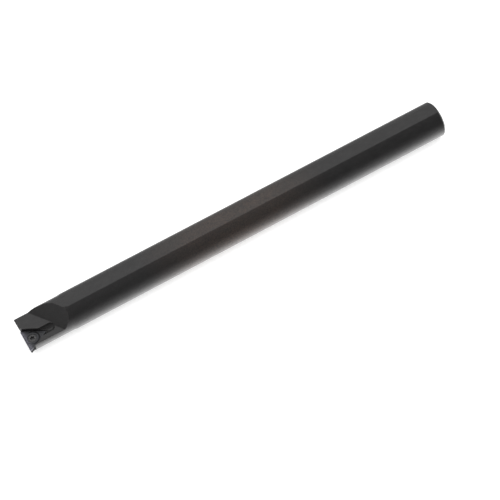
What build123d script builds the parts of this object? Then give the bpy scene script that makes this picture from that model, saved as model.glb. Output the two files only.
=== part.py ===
from build123d import *
from math import cos, radians, sin, sqrt, tan
import os

# Right-hand indexable boring bar: a round steel bar with two clamping flats, a milled head,
# a triangular carbide insert and the six-lobe screw that holds it.
#
# Frame: the origin is on the shank's axis at half of the overall length. +X points to the
# cutting head, +Y to the side of the cutting corner and +Z up, square to the clamping flats.
# The sharp cutting corner lies at X = overall_length / 2 on the centre height, Z = 0.

# ---- Shank -------------------------------------------------------------------------
overall_length = 200.0  # rear face to the sharp cutting corner
shank_diameter = 16.0
across_flats = 15.0  # between the top and the bottom clamping flat
rear_chamfer = 0.7  # turned, 45 degrees
head_undercut = 0.2  # head turned this far under the ground shank, on the radius
head_length = 21.5  # end of the ground shank behind the sharp corner
head_taper = 1.2  # length of the cone between shank and head

# ---- Cutting corner ----------------------------------------------------------------
corner_offset = 8.8  # from the shank's axis to the sharp corner, along Y
approach_angle = 91.0  # between the cutting edge and the shank's axis
front_setback = 0.5  # front face behind the sharp corner, at centre height
front_relief = 7.0  # lean of the front face below the edge, degrees

# ---- Milled head -------------------------------------------------------------------
far_deck_height = 1.6  # deck on the side away from the cutting corner
near_deck_height = 0.9  # deck behind the insert, where the chips run off
ramp_setback = 9.8  # ramp foot behind the sharp corner, at ramp_foot_y
ramp_foot_y = -3.1
ramp_slope = 48.0  # rise of the ramp, degrees from the deck
ramp_skew = 34.0  # turn of the ramp's foot away from square to the axis, degrees
foot_radius = 0.4  # milled radius between a deck and the ramp

# ---- Insert ------------------------------------------------------------------------
inscribed_circle = 6.35
insert_thickness = 2.38
nose_radius = 0.4
flank_clearance = 7.0  # lean of the insert's flanks, degrees
edge_land = 0.3  # flat rim along the cutting edges
groove_depth = 0.2
groove_wall = 40.0  # lean of the chip groove's walls from upright, degrees
boss_radius = 2.6  # round boss about the screw hole
insert_hole = 2.8

# ---- Clamping screw ----------------------------------------------------------------
thread_diameter = 2.5
screw_head = 3.6
screw_length = 6.0  # head face to point
screw_cone = 60.0  # full angle of the head and of its seat
head_sink = 0.15  # head face below the insert's boss
point_chamfer = 0.3
socket_across = 2.31  # over opposite lobes
socket_valley = 1.66  # over opposite valleys
socket_lobes = 6
socket_flute = 0.46  # radius of a valley
socket_depth = 1.0

# ---- Pocket and fits ---------------------------------------------------------------
pocket_gap = 0.02  # between the insert's flanks and the pocket's walls
thread_gap = 0.03  # between the screw's shank and its hole, on the radius
edge_relief = 0.45  # wall stands off the unused cutting edges by this
edge_relief_depth = 0.6  # and down to this far below them
cove_radius = 2.0  # of the ball-nosed cutter that opens the pocket's rear corner
cove_depth = 0.2  # cove's lowest line below the centre height
cove_lead = 2.5  # start of the cutter's path ahead of the rear corner
cove_run = 2.1  # end of its path behind that corner
near_deck_inset = 0.7  # near deck's inner edge from the rear corner, along Y
nose_cut_length = 2.9  # side relief behind the cutting corner, along X
nose_cut_inset = 0.1  # side relief inside the insert's underside

# ---- Derived -----------------------------------------------------------------------
shank_radius = shank_diameter / 2
tip_x = overall_length / 2
rear_x = -overall_length / 2
shank_end_x = tip_x - head_length
head_radius = shank_radius - head_undercut
beyond = 2 * shank_diameter  # reach of the cutters past the stock
insert_side = inscribed_circle * sqrt(3)
edge_turn = approach_angle - 90.0
underside_inset = insert_thickness * tan(radians(flank_clearance))


def from_corner(distance, angle, outward=0.0):
    """Point at a distance from the sharp corner along a line turned from -Y to the rear."""
    along = Vector(-sin(radians(angle)), -cos(radians(angle)))
    side = Vector(-cos(radians(angle)), sin(radians(angle)))
    return Vector(tip_x, corner_offset) + along * distance + side * outward


trailing_turn = edge_turn + 60.0  # direction of the trailing edge
insert_center = from_corner(inscribed_circle, edge_turn + 30.0)
rear_corner = from_corner(insert_side, trailing_turn)
edge_plane = Plane(
    origin=(insert_center.X, insert_center.Y, 0),
    x_dir=(tip_x - insert_center.X, corner_offset - insert_center.Y, 0),
    z_dir=(0, 0, 1),
)
seat_plane = edge_plane.offset(-insert_thickness)
near_deck_y = rear_corner.Y - near_deck_inset
cove_z = cove_radius - cove_depth

# ---- Cutters for the head ----------------------------------------------------------
ramp_forward = Vector(cos(radians(ramp_skew)), sin(radians(ramp_skew)), 0)
ramp_foot = Vector(tip_x - ramp_setback, ramp_foot_y, far_deck_height)


def ramp_cutter(deck_height):
    """Block above a deck and in front of the ramp, with the milled radius at its foot."""
    lowered = (far_deck_height - deck_height) / tan(radians(ramp_slope))
    foot = ramp_foot + ramp_forward * lowered
    side = Plane(
        origin=(foot.X, foot.Y, deck_height),
        x_dir=ramp_forward,
        z_dir=ramp_forward.cross(Vector(0, 0, 1)),
    )
    rise = shank_diameter
    run = rise / tan(radians(ramp_slope))
    with BuildPart() as cutter:
        with BuildSketch(side):
            with BuildLine():
                FilletPolyline(
                    (beyond, rise),
                    (-run, rise),
                    (0, 0),
                    (beyond, 0),
                    radius=foot_radius,
                    close=True,
                )
            make_face()
        extrude(amount=beyond, both=True)
    return cutter.part


# Near deck: behind the insert, from the cove to the near side.
with BuildPart() as near_cut:
    add(ramp_cutter(near_deck_height))
    with BuildSketch(Plane.XY.offset(-beyond)):
        with BuildLine():
            Polyline(
                (ramp_foot.X - beyond, near_deck_y),
                (ramp_foot.X - beyond, beyond),
                (tip_x + beyond, beyond),
                (tip_x + beyond, near_deck_y),
                close=True,
            )
        make_face()
    extrude(amount=2 * beyond, mode=Mode.INTERSECT)

# Pocket: the insert's own form grown by the gap, with the stand-off above its lower half
# and the cove that opens its rear corner and runs out into the decks.
with BuildPart() as pocket_cut:
    with BuildSketch(seat_plane):
        RegularPolygon(
            inscribed_circle / 2 - underside_inset + pocket_gap,
            3,
            major_radius=False,
        )
    extrude(amount=insert_thickness + shank_radius, taper=-flank_clearance)
    with BuildSketch(edge_plane.offset(-edge_relief_depth)):
        RegularPolygon(inscribed_circle / 2 + edge_relief, 3, major_radius=False)
    extrude(amount=shank_radius)
    with BuildSketch(Plane.YZ.offset(rear_corner.X + cove_lead)):
        with Locations((rear_corner.Y, cove_z)):
            Circle(cove_radius)
    extrude(amount=-cove_lead - cove_run)
    with Locations((rear_corner.X - cove_run, rear_corner.Y, cove_z)):
        Sphere(cove_radius)

# Side relief: what would stand outside the insert's trailing flank near the corner.
nose_inset = underside_inset + nose_cut_inset
nose_start = from_corner(-shank_radius, trailing_turn, -nose_inset)
nose_end = from_corner(
    nose_cut_length / sin(radians(trailing_turn)), trailing_turn, -nose_inset
)
with BuildPart() as nose_cut:
    with BuildSketch(Plane.XY.offset(-beyond)):
        with BuildLine():
            Polyline(
                (nose_start.X, nose_start.Y),
                (nose_end.X, nose_end.Y),
                (nose_end.X, beyond),
                (nose_start.X, beyond),
                close=True,
            )
        make_face()
    extrude(amount=2 * beyond)

# Front face: leans back below the cutting edge.
lean = beyond * tan(radians(front_relief))
with BuildPart() as front_cut:
    with BuildSketch(Plane.XZ.offset(-beyond)):
        with BuildLine():
            Polyline(
                (tip_x - front_setback - lean, -beyond),
                (tip_x - front_setback + lean, beyond),
                (tip_x + 2 * beyond, beyond),
                (tip_x + 2 * beyond, -beyond),
                close=True,
            )
        make_face()
    extrude(amount=2 * beyond)

# ---- Bar: shank and head in one piece ----------------------------------------------
with BuildPart() as bar:
    with BuildSketch(Plane.YZ.offset(rear_x)):
        Circle(shank_radius)
        Rectangle(shank_diameter, across_flats, mode=Mode.INTERSECT)
    extrude(amount=overall_length + shank_radius)
    with BuildSketch(Plane.XZ):
        with BuildLine():
            Polyline(
                (rear_x, shank_radius - rear_chamfer),
                (rear_x + rear_chamfer, shank_radius),
                (rear_x + rear_chamfer, shank_radius + rear_chamfer),
                (rear_x - rear_chamfer, shank_radius + rear_chamfer),
                (rear_x - rear_chamfer, shank_radius - rear_chamfer),
                close=True,
            )
        make_face()
    revolve(axis=Axis.X, mode=Mode.SUBTRACT)
    with BuildSketch(Plane.XZ):
        with BuildLine():
            Polyline(
                (shank_end_x, shank_radius),
                (shank_end_x + head_taper, head_radius),
                (tip_x + beyond, head_radius),
                (tip_x + beyond, beyond),
                (shank_end_x, beyond),
                close=True,
            )
        make_face()
    revolve(axis=Axis.X, mode=Mode.SUBTRACT)
    add(front_cut.part, mode=Mode.SUBTRACT)
    add(ramp_cutter(far_deck_height), mode=Mode.SUBTRACT)
    add(near_cut.part, mode=Mode.SUBTRACT)
    add(pocket_cut.part, mode=Mode.SUBTRACT)
    add(nose_cut.part, mode=Mode.SUBTRACT)
    with Locations(seat_plane):
        Hole(thread_diameter / 2 + thread_gap)

# ---- Insert ------------------------------------------------------------------------
with BuildPart() as chip_groove:
    with BuildSketch(edge_plane):
        RegularPolygon(inscribed_circle / 2 - edge_land, 3, major_radius=False)
        fillet(vertices(), nose_radius)
    extrude(amount=-groove_depth, taper=groove_wall)
    with BuildSketch(edge_plane):
        Circle(boss_radius)
    extrude(amount=-groove_depth, taper=-groove_wall, mode=Mode.SUBTRACT)

seat_radius = screw_head / 2 + head_sink * tan(radians(screw_cone / 2))
with BuildPart() as insert:
    with BuildSketch(edge_plane):
        RegularPolygon(inscribed_circle / 2, 3, major_radius=False)
        fillet(vertices(), nose_radius)
    extrude(amount=-insert_thickness, taper=flank_clearance)
    add(chip_groove.part, mode=Mode.SUBTRACT)
    with Locations(edge_plane):
        CounterSinkHole(
            insert_hole / 2, seat_radius, counter_sink_angle=screw_cone
        )

# ---- Clamping screw ----------------------------------------------------------------
head_plane = edge_plane.offset(-head_sink)
head_depth = (screw_head - thread_diameter) / 2 / tan(radians(screw_cone / 2))
with BuildPart() as insert_screw:
    with BuildSketch(Plane(head_plane.origin, x_dir=(1, 0, 0), z_dir=(0, -1, 0))):
        with BuildLine():
            Polyline(
                (0, 0),
                (screw_head / 2, 0),
                (thread_diameter / 2, -head_depth),
                (thread_diameter / 2, -screw_length + point_chamfer),
                (thread_diameter / 2 - point_chamfer, -screw_length),
                (0, -screw_length),
                close=True,
            )
        make_face()
    revolve(axis=Axis(head_plane.origin, (0, 0, 1)))
    with BuildSketch(head_plane):
        Circle(socket_across / 2)
        with PolarLocations(socket_valley / 2 + socket_flute, socket_lobes):
            Circle(socket_flute, mode=Mode.SUBTRACT)
    extrude(amount=-socket_depth, mode=Mode.SUBTRACT)

# ---- Output ------------------------------------------------------------------------
os.makedirs("parts", exist_ok=True)
bar.part.label = "bar"
insert.part.label = "insert"
insert_screw.part.label = "insert_screw"
export_step(bar.part, "parts/bar.step")
export_step(insert.part, "parts/insert.step")
export_step(insert_screw.part, "parts/insert_screw.step")
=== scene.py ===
from math import radians

import bpy
from mathutils import Matrix, Vector


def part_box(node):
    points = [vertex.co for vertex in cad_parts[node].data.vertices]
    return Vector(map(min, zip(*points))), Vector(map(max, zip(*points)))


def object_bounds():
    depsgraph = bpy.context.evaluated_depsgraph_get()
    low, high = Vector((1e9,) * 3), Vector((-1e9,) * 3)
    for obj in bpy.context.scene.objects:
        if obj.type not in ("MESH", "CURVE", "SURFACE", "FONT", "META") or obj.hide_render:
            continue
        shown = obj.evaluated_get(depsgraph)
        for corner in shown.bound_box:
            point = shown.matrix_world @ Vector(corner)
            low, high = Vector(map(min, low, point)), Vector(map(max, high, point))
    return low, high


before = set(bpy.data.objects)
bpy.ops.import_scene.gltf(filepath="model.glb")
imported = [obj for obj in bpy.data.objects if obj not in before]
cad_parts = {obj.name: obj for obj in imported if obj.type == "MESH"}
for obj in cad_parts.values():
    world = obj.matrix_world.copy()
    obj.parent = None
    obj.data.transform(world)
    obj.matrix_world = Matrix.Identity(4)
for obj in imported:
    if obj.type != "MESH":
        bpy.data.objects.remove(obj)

cad_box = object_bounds()

# ---- Sizes, metres -----------------------------------------------------------------
screw_low, screw_high = (Vector(corner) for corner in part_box("insert_screw"))
screw_centre = tuple((screw_low + screw_high) / 2)
cutting_edge_x, _, rake_face_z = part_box("insert")[1]

floor_gap = 0.00002  # keeps the floor just clear of the bottom flat
floor_height = Vector(cad_box[0]).z - floor_gap
floor_size = 3.0
dome_radius = 2.4

tint_middle_x = 0.001  # the brown stretch of the shank: its middle and two half-lengths
tint_full, tint_gone = 0.016, 0.044
darker_from_x, darkest_at_x = -0.01, -0.06
steel_edge_width = 0.00016
corner_reach = 0.0018
steel_grain_height, grinding_ring_height = 0.000006, 0.000004

strip_from, strip_full = 0.0021, 0.0005  # the painted highlight, behind the cutting edge
flank_below, face_above = 0.0005, 0.0003  # under the rake face
# Painted shade on the insert: a ring at the boss's foot and a rim at the screw hole
shade_ring_radius = 0.00305
shade_ring_solid, shade_ring_reach = 0.0001, 0.00042
shade_ring_ahead, shade_ring_behind = 0.0008, 0.0006  # the ring fades in between, about the screw
# Painted shade in the gap around the screw's head
screw_rim_open, screw_rim_shaded = 0.00135, 0.0016
hole_rim_shaded, hole_rim_open = 0.0019, 0.0022
insert_edge_width = 0.00008
pressed_grain_height = 0.000006
screw_edge_width = 0.0001
screw_grain_height = 0.000005

mirror_band_y = 0.006  # the band of floor that shines in the metal: middle and half-widths
mirror_band_solid, mirror_band_reach = 0.007, 0.014
mirror_band_x = -0.004
mirror_band_half, mirror_band_end = 0.104, 0.112
pool_lit_to, pool_dim_from = 0.010, 0.05

# ---- Colours, linear ---------------------------------------------------------------
oxide_front = (0.054, 0.053, 0.054)
oxide_rear = (0.044, 0.043, 0.044)
oxide_brown = (0.138, 0.099, 0.080)
oxide_faded = (0.090, 0.088, 0.086)
oxide_speck = (0.044, 0.043, 0.043)
steel_worn = (0.20, 0.195, 0.19)
# Painted shade, for inner corners, the boss's groove and the gaps around the screw
painted_shade_colour = (0.018, 0.018, 0.019)
coating_dark = (0.078, 0.079, 0.084)
coating_light = (0.102, 0.104, 0.111)
# Painted highlight along the cutting edge
edge_highlight_colour = (0.30, 0.295, 0.345)
coating_worn = (0.17, 0.17, 0.18)
flank_ground = (0.022, 0.023, 0.025)
screw_dark = (0.075, 0.075, 0.077)
screw_light = (0.105, 0.104, 0.104)
screw_worn = (0.24, 0.235, 0.23)
# A painted pool of light on the floor: pale beside the bar, grey further out
floor_pool_lit = (0.93, 0.93, 0.93)
floor_pool_dim = (0.30, 0.30, 0.30)
white = (1, 1, 1, 1)

# ---- Oil film, wear, painted shade and light levels --------------------------------
oil_film_roughness = 0.34
painted_shade_share = 0.8  # how much of the surface's own colour the painted shade hides
flat_facing, sharp_facing = 0.995, 0.86  # cosine of the normal's turn at a rounded edge
open_sky, hidden_sky = 0.66, 0.42  # share of open directions around a point, for the painted corner shade
sheet_glow_near, sheet_glow_away = 0.5, 1.1
surround_lighting, surround_seen = 0.7, 1.0
far_side_glow, near_side_glow, horizon_share, ahead_glow = 0.66, 0.06, 0.3, 0.09


# ---- Node helpers ------------------------------------------------------------------
class Finish:
    """A material under construction: its node tree, and the few nodes all finishes share."""

    def __init__(self, name, metal, oil_film_and_shade=0.0):
        self.material = bpy.data.materials.new(name)
        self.material.use_nodes = True
        self.tree = self.material.node_tree
        self.tree.nodes.clear()
        self.output = self.add("ShaderNodeOutputMaterial")
        self.shader = self.add("ShaderNodeBsdfPrincipled")
        self.shader.inputs["Metallic"].default_value = metal
        self.shader.inputs["Coat Weight"].default_value = oil_film_and_shade
        self.shader.inputs["Coat Roughness"].default_value = oil_film_roughness
        self.link(self.shader.outputs["BSDF"], self.output.inputs["Surface"])
        self.place = self.add("ShaderNodeTexCoord").outputs["Object"]

    def add(self, kind, **settings):
        node = self.tree.nodes.new(kind)
        for key, value in settings.items():
            setattr(node, key, value)
        return node

    def link(self, source, target):
        self.tree.links.new(source, target)

    def axes(self):
        """The X, Y and Z of the surface point."""
        node = self.add("ShaderNodeSeparateXYZ")
        self.link(self.place, node.inputs["Vector"])
        return node.outputs

    def noise(self, scale, detail=3.0, roughness=0.5):
        """Cloudy noise, 0 to 1, with its own scale along each axis."""
        mapping = self.add("ShaderNodeMapping")
        mapping.inputs["Scale"].default_value = scale
        self.link(self.place, mapping.inputs["Vector"])
        node = self.add("ShaderNodeTexNoise")
        node.inputs["Scale"].default_value = 1.0
        node.inputs["Detail"].default_value = detail
        node.inputs["Roughness"].default_value = roughness
        self.link(mapping.outputs["Vector"], node.inputs["Vector"])
        return node.outputs["Fac"]

    def span(self, value, start, end, low_value=0.0, high_value=1.0):
        """low_value at start, high_value at end, held beyond both."""
        node = self.add("ShaderNodeMapRange")
        for socket, number in zip(node.inputs[1:5], (start, end, low_value, high_value)):
            socket.default_value = number
        self.link(value, node.inputs["Value"])
        return node.outputs["Result"]

    def math(self, operation, first, second):
        node = self.add("ShaderNodeMath", operation=operation)
        for socket, term in zip(node.inputs, (first, second)):
            if isinstance(term, (int, float)):
                socket.default_value = term
            else:
                self.link(term, socket)
        return node.outputs["Value"]

    def away_from(self, value, middle):
        """Distance of a value from a middle, on either side."""
        return self.math("ABSOLUTE", self.math("SUBTRACT", value, middle), 0.0)

    def vector(self, operation, first, second=(0.0, 0.0, 0.0)):
        """A vector operation on a socket and, where it takes two, a constant vector."""
        node = self.add("ShaderNodeVectorMath", operation=operation)
        self.link(first, node.inputs[0])
        node.inputs[1].default_value = second
        return node.outputs

    def mix(self, factor, first, second):
        node = self.add("ShaderNodeMix", data_type="RGBA")
        self.link(factor, node.inputs["Factor"])
        for socket, colour in ((node.inputs[6], first), (node.inputs[7], second)):
            if isinstance(colour, tuple):
                socket.default_value = (*colour, 1.0)
            else:
                self.link(colour, socket)
        return node.outputs[2]

    def from_screw(self):
        """Distance from the clamping screw's axis."""
        centred = self.vector("SUBTRACT", self.place, screw_centre)["Vector"]
        level = self.vector("MULTIPLY", centred, (1.0, 1.0, 0.0))["Vector"]
        return self.vector("LENGTH", level)["Value"]

    def edge_wear(self, width):
        """1 on a sharp edge, 0 on open surface: how far rounding the edge turns the normal."""
        rounded = self.add("ShaderNodeBevel", samples=6)
        rounded.inputs["Radius"].default_value = width
        true = self.add("ShaderNodeNewGeometry").outputs["True Normal"]
        dot = self.add("ShaderNodeVectorMath", operation="DOT_PRODUCT")
        self.link(rounded.outputs["Normal"], dot.inputs[0])
        self.link(true, dot.inputs[1])
        return self.span(dot.outputs["Value"], flat_facing, sharp_facing)

    def painted_corner_shade(self):
        """How much painted shade lies there: most deep in an inner corner, 0 on open surface.
        """
        hollow = self.add("ShaderNodeAmbientOcclusion", samples=8, only_local=True)
        hollow.inputs["Distance"].default_value = corner_reach
        return self.span(hollow.outputs["AO"], open_sky, hidden_sky, 0.0, painted_shade_share)

    def bump(self, height, distance, strength, onto=None):
        node = self.add("ShaderNodeBump")
        node.inputs["Strength"].default_value = strength
        node.inputs["Distance"].default_value = distance
        self.link(height, node.inputs["Height"])
        if onto is not None:
            self.link(onto, node.inputs["Normal"])
        return node.outputs["Normal"]

    def set(self, socket, value):
        self.link(value, self.shader.inputs[socket])


# ---- Finishes ----------------------------------------------------------------------
def black_oxide_steel():
    finish = Finish("black_oxide_steel", metal=0.67, oil_film_and_shade=1.0)
    along = finish.axes()["X"]
    mottle = finish.noise((90, 160, 160), detail=5.0)
    # Heat tint: brown in the middle of the shank, neutral ahead of it, darker behind.
    brown = finish.span(finish.away_from(along, tint_middle_x), tint_gone, tint_full)
    tint = finish.math("MULTIPLY", brown, finish.span(mottle, 0.2, 0.7, 0.5, 1.0))
    rearward = finish.span(along, darker_from_x, darkest_at_x)
    oxide = finish.mix(tint, finish.mix(rearward, oxide_front, oxide_rear), oxide_brown)
    # Faded blotches, then fine dark specks.
    blotch = finish.noise((330, 560, 560), detail=4.0, roughness=0.6)
    faded = finish.math("MULTIPLY", finish.span(blotch, 0.40, 0.62), 0.30)
    base = finish.mix(faded, oxide, oxide_faded)
    speckle = finish.noise((2600, 2600, 2600), detail=2.0)
    speckled = finish.mix(finish.span(speckle, 0.35, 0.7), base, oxide_speck)
    # Painted shade darkens inner corners; bright wear on sharp edges.
    corner_shaded = finish.mix(finish.painted_corner_shade(), speckled, painted_shade_colour)
    patches = finish.span(mottle, 0.3, 0.62, 0.25, 0.9)
    worn = finish.math("MULTIPLY", finish.edge_wear(steel_edge_width), patches)
    finish.set("Base Color", finish.mix(worn, corner_shaded, steel_worn))
    haze = finish.noise((240, 420, 420), detail=4.0)
    finish.set("Roughness", finish.span(haze, 0.3, 0.75, 0.42, 0.54))
    # Grinding rings around the bar, over a fine grain.
    grain = finish.noise((5200, 5200, 5200), detail=2.0)
    rings = finish.noise((9000, 60, 60), detail=2.0)
    fine = finish.bump(grain, steel_grain_height, 0.35)
    finish.set("Normal", finish.bump(rings, grinding_ring_height, 0.4, fine))
    return finish.material


def coated_carbide():
    finish = Finish("coated_carbide", metal=0.75)
    axes = finish.axes()
    cloud = finish.noise((420, 420, 420), detail=3.0)
    base = finish.mix(finish.span(cloud, 0.35, 0.65), coating_dark, coating_light)
    # Painted highlight: brighter, bluish streaks on the rake face along the front cutting edge.
    front = finish.span(axes["X"], cutting_edge_x - strip_from, cutting_edge_x - strip_full)
    rake_face = finish.span(axes["Z"], rake_face_z - flank_below, rake_face_z - face_above)
    highlight_streak_noise = finish.noise((700, 2300, 500), detail=2.0)
    highlight_streaks = finish.math("MULTIPLY", front, finish.span(highlight_streak_noise, 0.38, 0.6, 0.2, 1.0))
    highlight_streaks = finish.math("MULTIPLY", highlight_streaks, rake_face)
    edge_highlighted = finish.mix(highlight_streaks, base, edge_highlight_colour)
    # Painted shade at the foot of the boss, on the side away from the edge, and around the
    # screw.
    radius = finish.from_screw()
    off_ring = finish.away_from(radius, shade_ring_radius)
    ring = finish.span(off_ring, shade_ring_reach, shade_ring_solid)
    screw_x = screw_centre[0]
    behind = finish.span(axes["X"], screw_x + shade_ring_ahead, screw_x - shade_ring_behind)
    rim = finish.span(radius, hole_rim_open, hole_rim_shaded, 0.0, painted_shade_share)
    oil_film_and_shade = finish.math("MAXIMUM", finish.math("MULTIPLY", ring, behind), rim)
    shaded = finish.mix(oil_film_and_shade, edge_highlighted, painted_shade_colour)
    # Ground flanks: darker and duller than the rake face.
    faced = finish.mix(rake_face, flank_ground, shaded)
    worn = finish.math("MULTIPLY", finish.edge_wear(insert_edge_width), rake_face)
    finish.set("Base Color", finish.mix(worn, faced, coating_worn))
    dull = finish.span(rake_face, 0.0, 1.0, 0.28, 0.0)
    satin = finish.span(cloud, 0.3, 0.7, 0.34, 0.48)
    finish.set("Roughness", finish.math("ADD", satin, dull))
    pressed = finish.noise((3600, 3600, 3600), detail=3.0)
    finish.set("Normal", finish.bump(pressed, pressed_grain_height, 0.5))
    return finish.material


def screw_black():
    finish = Finish("screw_black", metal=0.6, oil_film_and_shade=1.0)
    mottle = finish.noise((900, 900, 900), detail=3.0)
    base = finish.mix(finish.span(mottle, 0.3, 0.7), screw_dark, screw_light)
    # Painted shade in the gap around the screw's head.
    radius = finish.from_screw()
    rim = finish.span(radius, screw_rim_open, screw_rim_shaded, 0.0, painted_shade_share)
    shaded = finish.mix(rim, base, painted_shade_colour)
    worn = finish.edge_wear(screw_edge_width)
    finish.set("Base Color", finish.mix(worn, shaded, screw_worn))
    finish.set("Roughness", finish.span(mottle, 0.3, 0.7, 0.3, 0.45))
    grain = finish.noise((6000, 6000, 6000), detail=2.0)
    finish.set("Normal", finish.bump(grain, screw_grain_height, 0.5))
    return finish.material


def dress(node_name, material):
    """Give a piece of the bar its finish."""
    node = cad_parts[node_name]
    node.data.materials.clear()
    node.data.materials.append(material)


dress("bar", black_oxide_steel())
dress("insert", coated_carbide())
dress("insert_screw", screw_black())


# ---- Floor, light and camera -------------------------------------------------------
def seen_ray(nodes, links):
    """1 for a camera, mirror or see-through ray, 0 for one that only carries light."""
    paths = nodes.new("ShaderNodeLightPath")
    total = paths.outputs["Is Camera Ray"]
    for name in ("Is Glossy Ray", "Is Transmission Ray"):
        larger = nodes.new("ShaderNodeMath")
        larger.operation = "MAXIMUM"
        links.new(total, larger.inputs[0])
        links.new(paths.outputs[name], larger.inputs[1])
        total = larger.outputs["Value"]
    return total


def floor():
    """Pale sheet, greyer to both sides of the bar as a painted pool of light, and white to the
    eye but for the shadow.
    """
    bpy.ops.object.select_all(action="DESELECT")
    bpy.ops.mesh.primitive_plane_add(size=floor_size, location=(0, 0, floor_height))
    plane = bpy.context.object
    plane.name = "floor"
    bpy.ops.object.transform_apply(location=True, rotation=True, scale=True)
    sheet = Finish("sheet_white", metal=0.0)
    sheet.shader.inputs["Roughness"].default_value = 0.9
    sheet.shader.inputs["Specular IOR Level"].default_value = 0.0
    sheet.shader.inputs["Emission Color"].default_value = white
    axes = sheet.axes()
    # Painted pool of light: the sheet's colour greys off to both sides of the bar.
    from_axis = sheet.away_from(axes["Y"], 0.0)
    away = sheet.span(from_axis, pool_lit_to, pool_dim_from)
    sheet.set("Base Color", sheet.mix(away, floor_pool_lit, floor_pool_dim))
    # Mirrored by the metal, the sheet shines only in a band along the bar's near side.
    off_band = sheet.away_from(axes["Y"], mirror_band_y)
    beside = sheet.span(off_band, mirror_band_solid, mirror_band_reach, 1.0, 0.0)
    off_middle = sheet.away_from(axes["X"], mirror_band_x)
    between_ends = sheet.span(off_middle, mirror_band_half, mirror_band_end, 1.0, 0.0)
    band = sheet.math("MULTIPLY", beside, between_ends)
    rays = sheet.add("ShaderNodeLightPath").outputs
    mirror = sheet.math("MAXIMUM", rays["Is Glossy Ray"], rays["Is Transmission Ray"])
    sheet_glow = sheet.span(away, 0.0, 1.0, sheet_glow_near, sheet_glow_away)
    to_eye = sheet.math("MULTIPLY", rays["Is Camera Ray"], sheet_glow)
    glow = sheet.math("ADD", sheet.math("MULTIPLY", mirror, band), to_eye)
    sheet.set("Emission Strength", glow)
    plane.data.materials.append(sheet.material)


def studio_dome():
    """The room that the metal mirrors: light overhead on the far side, dim on the near side and
    at the horizon, and faintly lit ahead of the bar."""
    bpy.ops.object.select_all(action="DESELECT")
    bpy.ops.mesh.primitive_uv_sphere_add(segments=48, ring_count=24, radius=dome_radius)
    dome = bpy.context.object
    dome.name = "studio_dome"
    room = Finish("room_grey", metal=0.0)
    axes = room.axes()
    far_y, near_y = -0.55 * dome_radius, 0.1 * dome_radius
    side = room.span(axes["Y"], far_y, near_y, far_side_glow, near_side_glow)
    height = room.span(axes["Z"], 0.0, 0.5 * dome_radius, horizon_share, 1.0)
    ahead = room.span(axes["X"], 0.4 * dome_radius, 0.95 * dome_radius, 0.0, ahead_glow)
    glow = room.add("ShaderNodeEmission")
    level = room.math("ADD", room.math("MULTIPLY", side, height), ahead)
    room.link(level, glow.inputs["Strength"])
    room.link(glow.outputs["Emission"], room.output.inputs["Surface"])
    dome.data.materials.append(room.material)
    for ray in ("camera", "diffuse", "transmission", "volume_scatter", "shadow"):
        setattr(dome, "visible_" + ray, False)


def overhead_softbox():
    """One wide lamp above the near side. The metal mirrors the dome in its place."""
    place = Vector((0.0, 0.25, 1.2))
    width = 1.6
    watts = 9.0
    bpy.ops.object.light_add(type="AREA", location=place)
    lamp = bpy.context.object
    lamp.name = "overhead_softbox"
    lamp.data.shape = "RECTANGLE"
    lamp.data.size = width
    lamp.data.size_y = width
    lamp.data.energy = watts
    lamp.rotation_euler = (-place).to_track_quat("-Z", "Y").to_euler()
    lamp.visible_glossy = False


def white_surround():
    """Even light from all around, white where it is seen."""
    world = bpy.data.worlds.new("white_surround")
    bpy.context.scene.world = world
    world.use_nodes = True
    nodes, links = world.node_tree.nodes, world.node_tree.links
    background = nodes["Background"]
    level = nodes.new("ShaderNodeMapRange")
    level.inputs["To Min"].default_value = surround_lighting
    level.inputs["To Max"].default_value = surround_seen
    links.new(seen_ray(nodes, links), level.inputs["Value"])
    links.new(level.outputs["Result"], background.inputs["Strength"])
    background.inputs["Color"].default_value = white


def camera():
    aim = Vector((0.00145, 0.01505, 0.0))
    azimuth, elevation, roll = radians(68.34), radians(55.15), radians(-9.90)
    distance = 0.6597
    toward = Vector((1, 0, 0))
    toward.rotate(Matrix.Rotation(-elevation, 3, "Y"))
    toward.rotate(Matrix.Rotation(azimuth, 3, "Z"))
    bpy.ops.object.camera_add(location=aim + toward * distance)
    viewer = bpy.context.object
    viewer.name = "camera"
    upright = (-toward).to_track_quat("-Z", "Y").to_matrix()
    viewer.rotation_euler = (upright @ Matrix.Rotation(roll, 3, "Z")).to_euler()
    viewer.data.lens = 115.0
    viewer.data.sensor_width = 36.0
    viewer.data.sensor_fit = "HORIZONTAL"
    viewer.data.clip_start = 0.01
    bpy.context.scene.camera = viewer


floor()
studio_dome()
overhead_softbox()
white_surround()
camera()
bpy.context.scene.view_settings.view_transform = "Standard"
